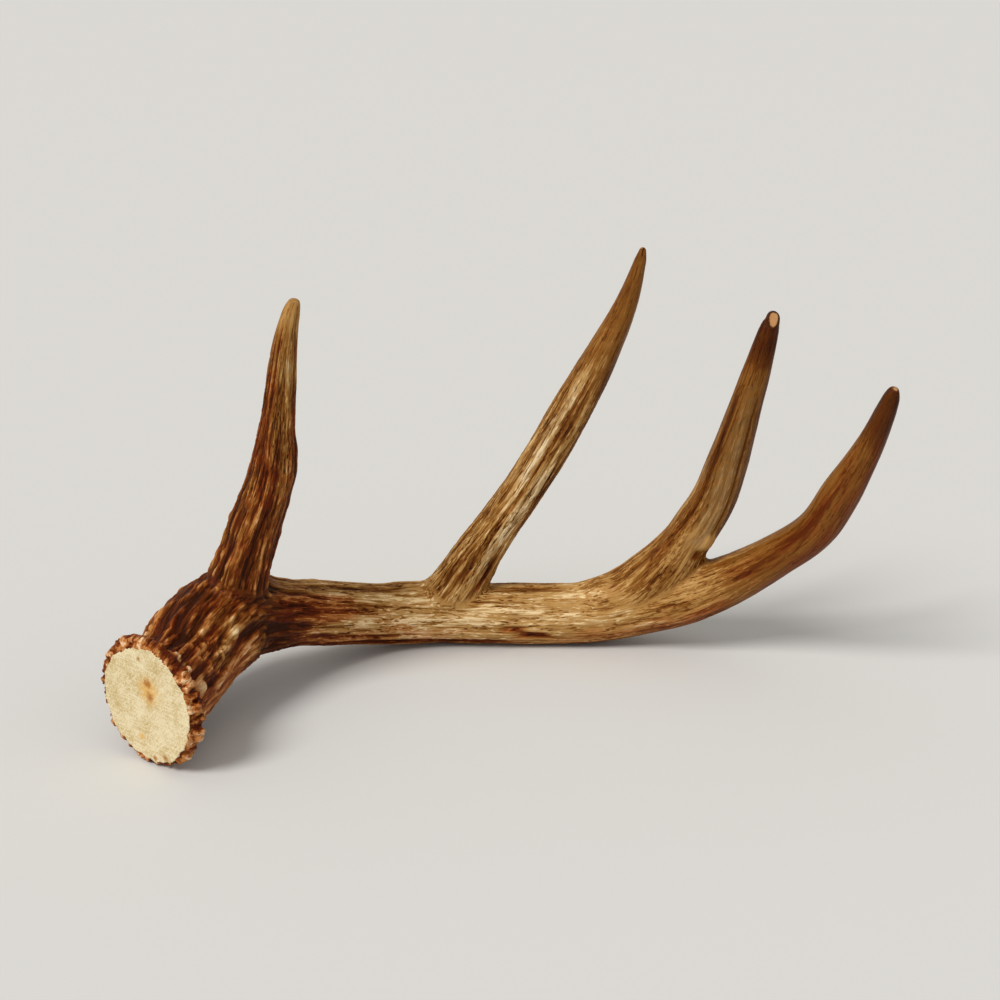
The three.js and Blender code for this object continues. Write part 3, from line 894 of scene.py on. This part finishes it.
class ANTLER_OT_carve_surface(bpy.types.Operator):
    """Tints the bone along its grain, carves ridges, grooves and pearls, and wears the tips flat"""
    bl_idname = "antler.carve_surface"
    bl_label = "Carve the Surface"

    def execute(self, context):
        sizes = context.scene.antler_surface
        bone = the_bone()
        mesh = bone.data
        points = points_of(mesh)
        layers = grain_and_tint(points)
        centre, outward = np.array(SAWN_CENTRE), np.array(SAWN_NORMAL)
        behind = (centre - points) @ outward / MM
        outside, sunk = face_rim(points)
        on_face = (behind < FACE_SKIN) & (normals_of(mesh) @ outward > 0.6) & (outside < 0)
        ground = smooth(0, 0.4, outside) * (1 - smooth(1.0, RIM_REACH, behind))
        tint = layers["tint"]
        tint[:, 0] += ground * GROUND_TONE
        for name in ("beam_grain", "tine_grain", "tine_share"):
            write_layer(mesh, name, layers[name])
        for k, name in enumerate(LAYERS):
            low = -1.0 if name == "hue" else 0.0
            write_layer(mesh, name, np.clip(tint[:, k], low, 1.0))
        write_layer(mesh, "sawn", on_face.astype(float))
        apply_modifier(bone, "NODES", node_group=relief_group(sizes))
        points = points_of(mesh)
        points -= layers["radial"] * tint[:, -1:] * MM * ~on_face[:, None]
        points -= outward * (sunk * np.clip(1 - behind / RIM_REACH, 0, 1) * MM)[:, None]
        points -= np.maximum((points - centre) @ outward, 0)[:, None] * outward
        worn = np.zeros(len(points))
        for spot, facing, reach in WORN_FLATS:
            spot, facing = np.array(spot) * MM, unit(np.array(facing))
            near = np.linalg.norm(points - spot, axis=1) < reach * MM
            proud = np.maximum((points - spot) @ facing, 0) * near
            points -= proud[:, None] * facing
            worn = np.maximum(worn, near * smooth(*WORN_EDGE, proud / MM))
        points[:, 2] = np.maximum(points[:, 2], 0)
        mesh.vertices.foreach_set("co", points.astype(np.float32).ravel())
        mesh.update()
        write_layer(mesh, "worn", worn)
        write_layer(mesh, "shade_normal", normals_of(mesh))
        return {"FINISHED"}


# ---- The skin ----------------------------------------------------------------------------------

SHADE_PLACES = (0.0, 0.26, 0.46, 0.68, 1.0)     # where a stain's shades lie, from black brown to cream
SCRATCH_LENGTH = 9            # of the saw's scratches, in mm

# Marks of the pith on the sawn face: sideways and up from its middle and their reach, in mm, and
# their colour.
PITH_MARKS = (
    (2.2, 5.6, 5.5, "halo"),
    (1.8, 8.6, 2.0, "pith"),
    (2.6, 3.4, 2.2, "pith"),
    (-3.5, -14.5, 1.6, "halo"),
    (8.5, -19.5, 1.4, "pith"),
    (3.0, -21.5, 1.2, "pith"),
    (-2.0, 17.5, 0.9, "pith"),
)


def stained(tree, value, skin, stain):
    """Bone in one stain's shades, from the darkest in its pits to the lightest on its tops."""
    shaded = add_node(tree, "ShaderNodeValToRGB", {0: value})
    scale = shaded.node.color_ramp
    scale.interpolation = "EASE"
    while len(scale.elements) < len(SHADE_PLACES):
        scale.elements.new(0.5)
    for k, place in enumerate(SHADE_PLACES):
        scale.elements[k].position = place
        scale.elements[k].color = (*getattr(skin, f"{stain}_{k}"), 1)
    return shaded


def antler_skin(name, skin, sawn_face):
    """Antler bone as it hardens after the velvet is rubbed off: stained by bark and blood in its
    grooves, rubbed pale on its ridges, satin where it is rough and waxy where it is polished."""
    material = bpy.data.materials.new(name)
    material.use_nodes = True
    tree = material.node_tree
    shader = tree.nodes["Principled BSDF"]
    shader.inputs["IOR"].default_value = 1.54
    shader.inputs["Specular IOR Level"].default_value = 0.07

    def mapped(attribute, kind="FLOAT"):
        output = "Vector" if kind == "FLOAT_VECTOR" else "Fac"
        return add_node(tree, "ShaderNodeAttribute", output=output, attribute_name=attribute)

    figure = grown_figure(tree, mapped)
    grain = mapped("beam_grain", "FLOAT_VECTOR")
    tone, hue, pearled, polish, worn = (mapped(layer) for layer in (*LAYERS, "worn"))
    unpolished = add_node(tree, "ShaderNodeMapRange", {0: polish, 3: 1.0, 4: 0.3}, **EASED)
    calm = total(tree, (unpolished, figure["clear"]))
    open_bone = add_node(tree, "ShaderNodeMapRange", {0: pearled, 2: 0.7, 3: 1.0, 4: 0.35}, **EASED)
    bare = total(tree, (open_bone, calm))
    figure["broad"] = mottle(tree, grain, 8, 22, 9.4, 2.0)
    figure["crisp"] = add_node(tree, "ShaderNodeMapRange", {
        0: figure["streaks"], 1: -0.16, 2: 0.16, 3: -0.5, 4: 0.5}, **EASED)
    patterned = drawn(
        tree, figure,
        ("broad", calm, 0.40),
        ("ridges", total(tree, (calm, 0.30), (pearled, 0.16)), 1.0),
        ("crisp", calm, 0.24),
        ("fibres", calm, 0.18),
        ("grooves", bare, -0.24),
        ("veins", bare, -0.32),
        ("pores", bare, -0.36),
        ("flecks", bare, 0.20),
        ("pearls", pearled, 0.38),
    )
    # Half of broad and of pearls is taken off again, so that on average they keep the tone.
    value = total(tree, (tone, 1.0), (patterned, 1.0), (calm, -0.20), (pearled, -0.19))
    spotted = mottle(tree, grain, 4, 13, 11.3, 3.0, 0.6)
    shifted = total(tree, (hue, 1.0), (spotted, 1.5), (1.0, -0.75))
    gold, rust, grey = (stained(tree, value, skin, stain) for stain in STAINS)
    rusty = add_node(tree, "ShaderNodeMapRange", {0: shifted}, **EASED)
    tinted = add_node(tree, "ShaderNodeMix", {0: rusty, 6: gold, 7: rust}, **COLOURED)
    greyed = add_node(
        tree, "ShaderNodeMapRange", {0: shifted, 1: -1.0, 2: 0.0, 3: 1.0, 4: 0.0}, **EASED)
    tinted = add_node(tree, "ShaderNodeMix", {0: greyed, 6: tinted, 7: grey}, **COLOURED)
    streaked = total(tree, (figure["streaks"], 1.0), (1.0, 0.5))
    laid_bare = add_node(tree, "ShaderNodeMix", {
        0: streaked, 6: (*skin.worn_stain, 1), 7: (*skin.worn, 1)}, **COLOURED)
    tinted = add_node(tree, "ShaderNodeMix", {0: worn, 6: tinted, 7: laid_bare}, **COLOURED)
    gloss = add_node(tree, "ShaderNodeMapRange", {0: polish, 3: 0.58, 4: 0.40}, **EASED)
    roughness = total(
        tree, (gloss, 1.0), (pearled, -0.12), (figure["grooves"], 0.15), (figure["streaks"], 0.25))
    fine = mottle(tree, grain, 0.45, 3.0, 12.6, 2.0)
    # The last term lifts the grain to the height of the sawn face's grain.
    height = total(
        tree, (figure["streaks"], 0.5), (figure["fibres"], 0.25), (fine, 0.3),
        (figure["pores"], -0.4), (1.0, 0.375))
    if sawn_face:
        tinted, roughness, height = sawn_layer(
            tree, skin, mapped("sawn"), tinted, roughness, height)
    bump = add_node(
        tree, "ShaderNodeBump", {"Strength": 0.5, "Distance": 0.25 * MM, "Height": height})
    for socket, value in (("Base Color", tinted), ("Roughness", roughness), ("Normal", bump)):
        tree.links.new(value, shader.inputs[socket])
    return material


def sawn_layer(tree, skin, sawn, colour_in, roughness_in, height_in):
    """Bone cut by a fine saw: cream, granular and matt, with the saw's scratches and the pith's
    marks. Gives the colour, roughness and height of the whole skin."""
    place = add_node(tree, "ShaderNodeTexCoord", output="Object")
    local = add_node(tree, "ShaderNodeVectorMath", {0: place, 1: SAWN_CENTRE}, operation="SUBTRACT")

    def blotches(size, detail, shift):
        """Mottling in grains of this size in mm."""
        cells = (1 / (size * MM),) * 3
        at = add_node(
            tree, "ShaderNodeVectorMath", {0: local, 1: cells, 2: (shift,) * 3},
            operation="MULTIPLY_ADD")
        return add_node(tree, "ShaderNodeTexNoise", {
            "Vector": at, "Scale": 1.0, "Detail": detail, "Roughness": 0.62})

    def saw_lines(direction, across):
        """Fine parallel scratches of the saw, across millimetres apart."""
        cells = {}
        for axis, (way, size) in enumerate((
                (direction, SCRATCH_LENGTH), (direction.cross(SAWN_NORMAL), across))):
            run = add_node(
                tree, "ShaderNodeVectorMath", {0: local, 1: way}, "Value", operation="DOT_PRODUCT")
            cells[axis] = total(tree, (run, 1 / (size * MM)))
        both = add_node(tree, "ShaderNodeCombineXYZ", cells)
        return add_node(tree, "ShaderNodeTexNoise", {"Vector": both, "Scale": 1.0, "Detail": 2.0})

    grains = blotches(0.8, 3.0, 1.7)
    broad = blotches(8, 2.0, 6.3)
    frayed = blotches(1.6, 2.0, 4.2)
    slanted = (LEVEL + UPRIGHT).normalized()
    scratch = total(tree, (saw_lines(LEVEL, 0.55), 0.6), (saw_lines(slanted, 0.8), 0.4))
    dust = total(tree, (grains, 0.56), (broad, 0.46), (scratch, 0.58))
    dusted = add_node(tree, "ShaderNodeMapRange", {0: dust, 1: 0.66, 2: 1.02}, **EASED)
    colour_out = add_node(tree, "ShaderNodeMix", {
        0: dusted, 6: (*skin.sawn, 1), 7: (*skin.sawn_dust, 1)}, **COLOURED)
    for sideways, upward, reach, tint in PITH_MARKS:
        spot = LEVEL * sideways * MM + UPRIGHT * upward * MM
        away = add_node(
            tree, "ShaderNodeVectorMath", {0: local, 1: spot}, "Value", operation="DISTANCE")
        ragged = total(tree, (away, 1 / (reach * MM)), (frayed, 1.6))
        near = add_node(
            tree, "ShaderNodeMapRange", {0: ragged, 1: 1.0, 2: 2.2, 3: 0.85, 4: 0.0}, **EASED)
        colour_out = add_node(tree, "ShaderNodeMix", {
            0: near, 6: colour_out, 7: (*getattr(skin, tint), 1)}, **COLOURED)
    edge = add_node(tree, "ShaderNodeMapRange", {0: sawn, 1: 0.45, 2: 0.6}, **EASED)
    cut = total(tree, (scratch, 1.0), (grains, 0.8))
    return (
        add_node(tree, "ShaderNodeMix", {0: edge, 6: colour_in, 7: colour_out}, **COLOURED),
        add_node(tree, "ShaderNodeMix", {0: edge, 2: roughness_in, 3: 0.8}),
        add_node(tree, "ShaderNodeMix", {0: edge, 2: height_in, 3: cut}),
    )


# ---- The seven pieces --------------------------------------------------------------------------


def part_bone():
    """Parts the bone at its forks and names each piece after the CAD node whose box it fills."""
    bone = the_bone()
    pick(bone)
    centres = [(LIMBS[name], LIMBS[name].at(place * MM)) for name, place in CUTS]
    for limb, i in centres:
        points = points_of(bone.data)
        near = np.linalg.norm(points - limb.centre[i], axis=1) < limb.radius[i] * CUT_REACH
        bpy.ops.object.mode_set(mode="EDIT")
        bpy.ops.mesh.select_mode(type="VERT")
        bpy.ops.mesh.select_all(action="DESELECT")
        bpy.ops.object.mode_set(mode="OBJECT")
        bone.data.vertices.foreach_set("select", near)
        bpy.ops.object.mode_set(mode="EDIT")
        bpy.ops.mesh.bisect(plane_co=limb.centre[i], plane_no=limb.tangent[i])
        bpy.ops.mesh.edge_split(type="EDGE")
        bpy.ops.object.mode_set(mode="OBJECT")
    bpy.ops.object.mode_set(mode="EDIT")
    bpy.ops.mesh.select_all(action="SELECT")
    bpy.ops.mesh.separate(type="LOOSE")
    bpy.ops.object.mode_set(mode="OBJECT")
    parts = [o for o in bpy.context.selected_objects if o.type == "MESH"]
    if len(parts) != len(frame["nodes"]):
        raise RuntimeError(f"the bone fell into {len(parts)} pieces")
    for part in parts:
        part.name = "parted"
    for node in frame["nodes"]:
        low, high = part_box(node)
        middle = (low + high) / 2

        def misfit(part):
            corners = points_of(part.data)
            return (Vector((corners.min(axis=0) + corners.max(axis=0)) / 2) - middle).length

        part = min(parts, key=misfit)
        part.name = part.data.name = "bone_" + node
        parts.remove(part)


def finish_piece(node, material):
    """Closes a piece where it was parted, gives it its skin and sets it in its node's place."""
    piece = bpy.data.objects["bone_" + node]
    pick(piece)
    bpy.ops.object.mode_set(mode="EDIT")
    bpy.ops.mesh.select_mode(type="EDGE")
    bpy.ops.mesh.select_all(action="DESELECT")
    bpy.ops.mesh.select_non_manifold(extend=False)
    bpy.ops.mesh.fill_holes(sides=0)
    bpy.ops.object.mode_set(mode="OBJECT")
    mesh = piece.data
    mesh.materials.clear()
    mesh.materials.append(material)
    bpy.ops.object.shade_smooth()
    shade_across_parting(mesh)
    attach(piece, "root")
    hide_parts(node)
    return piece


def shade_across_parting(mesh):
    """Gives each corner the normal it had before the bone was parted, and each cap its own."""
    normals = np.empty(len(mesh.vertices) * 3, np.float32)
    mesh.attributes["shade_normal"].data.foreach_get("vector", normals)
    corner_vertex = np.empty(len(mesh.loops), np.int32)
    mesh.loops.foreach_get("vertex_index", corner_vertex)
    corners = unit(normals.reshape(-1, 3).astype(float)[corner_vertex])
    for face in mesh.polygons:
        if face.loop_total > CAP_SIDES:
            corners[face.loop_start:face.loop_start + face.loop_total] = face.normal
    mesh.attributes.remove(mesh.attributes["shade_normal"])
    mesh.normals_split_custom_set(corners.tolist())


class ANTLER_OT_base(bpy.types.Operator):
    """Parts the bone and finishes the base, with the burr, the sawn face and the stem"""
    bl_idname = "antler.base"
    bl_label = "Base"

    def execute(self, context):
        part_bone()
        skin = antler_skin("Sawn and beaded antler bone", context.scene.antler_skin, True)
        finish_piece("beam_base", skin)
        return {"FINISHED"}


class ANTLER_OT_beam(bpy.types.Operator):
    """Finishes the three stretches of the beam"""
    bl_idname = "antler.beam"
    bl_label = "Beam"

    def execute(self, context):
        skin = antler_skin("Grained antler bone of the beam", context.scene.antler_skin, False)
        finish_piece("lower_beam", skin)
        finish_piece("upper_beam", skin)
        finish_piece("beam_tip", skin)
        return {"FINISHED"}


class ANTLER_OT_tines(bpy.types.Operator):
    """Finishes the three tines"""
    bl_idname = "antler.tines"
    bl_label = "Tines"

    def execute(self, context):
        skin = antler_skin("Rubbed antler bone of the tines", context.scene.antler_skin, False)
        finish_piece("brow_tine", skin)
        finish_piece("second_tine", skin)
        finish_piece("third_tine", skin)
        return {"FINISHED"}


# ---- The stage ---------------------------------------------------------------------------------

KEY_PLACE = Vector((-0.62, -0.62, 0.95))     # the way to the key light, upper left and in front
KEY_COLOUR = (1.0, 0.95, 0.87)               # warm, as linear colour
SKY_COLOUR = (1.0, 0.96, 0.88, 1)


class ANTLER_OT_stage(bpy.types.Operator):
    """Lays a pale floor and sets soft lights and the camera"""
    bl_idname = "antler.stage"
    bl_label = "Stage"

    def execute(self, context):
        stage = context.scene.antler_stage
        deselect()
        bpy.ops.mesh.primitive_plane_add(size=stage.floor_side, location=(0, 0, 0))
        floor = context.active_object
        floor.name = "studio_floor"
        paper = bpy.data.materials.new("Matt paper sweep")
        paper.use_nodes = True
        shader = paper.node_tree.nodes["Principled BSDF"]
        shader.inputs["Base Color"].default_value = (*stage.floor_colour, 1)
        shader.inputs["Roughness"].default_value = 0.85
        shader.inputs["Specular IOR Level"].default_value = 0.2
        floor.data.materials.append(paper)
        turn = KEY_PLACE.to_track_quat("Z", "Y").to_euler()
        bpy.ops.object.light_add(type="SUN", location=KEY_PLACE, rotation=turn)
        key = context.active_object
        key.name = "Key light"
        key.data.energy = stage.key_strength
        key.data.angle = stage.key_spread
        key.data.color = KEY_COLOUR
        world = bpy.data.worlds.new("Pale studio")
        world.use_nodes = True
        sky = world.node_tree.nodes["Background"]
        sky.inputs["Color"].default_value = SKY_COLOUR
        sky.inputs["Strength"].default_value = stage.sky
        context.scene.world = world
        bpy.ops.object.camera_add(
            location=(0, -stage.camera_back, stage.camera_height),
            rotation=(math.pi / 2 - stage.camera_pitch, 0, 0))
        camera = context.active_object
        camera.data.lens = stage.camera_lens
        camera.data.sensor_width = 36
        camera.data.clip_start = 0.01
        camera.data.clip_end = 50
        context.scene.camera = camera
        context.scene.view_settings.view_transform = "Standard"
        return {"FINISHED"}


class ANTLER_PT_panel(bpy.types.Panel):
    """Lists the steps that make the antler"""
    bl_idname = "ANTLER_PT_panel"
    bl_label = "Deer Antler"
    bl_space_type = "VIEW_3D"
    bl_region_type = "UI"
    bl_category = "Antler"

    def draw(self, context):
        for operator in OPERATORS:
            self.layout.operator(operator.bl_idname)
        for name in SETTINGS:
            settings = getattr(context.scene, name)
            box = self.layout.box()
            for prop in settings.bl_rna.properties:
                if not prop.is_readonly and prop.identifier != "name":
                    box.prop(settings, prop.identifier)


SETTINGS = {
    "antler_bone": BoneSettings,
    "antler_surface": SurfaceSettings,
    "antler_skin": SkinSettings,
    "antler_stage": StageSettings,
}
OPERATORS = (
    ANTLER_OT_grow_bone,
    ANTLER_OT_carve_surface,
    ANTLER_OT_base,
    ANTLER_OT_beam,
    ANTLER_OT_tines,
    ANTLER_OT_stage,
)


def register():
    for cls in (*SETTINGS.values(), *OPERATORS, ANTLER_PT_panel):
        bpy.utils.register_class(cls)
    for name, group in SETTINGS.items():
        setattr(bpy.types.Scene, name, bpy.props.PointerProperty(type=group))


def unregister():
    for name in SETTINGS:
        delattr(bpy.types.Scene, name)
    for cls in (ANTLER_PT_panel, *reversed(OPERATORS), *reversed(SETTINGS.values())):
        bpy.utils.unregister_class(cls)


def main():
    register()
    bpy.ops.antler.grow_bone()
    bpy.ops.antler.carve_surface()
    bpy.ops.antler.base()
    bpy.ops.antler.beam()
    bpy.ops.antler.tines()
    bpy.ops.antler.stage()


if __name__ == "__main__":
    main()
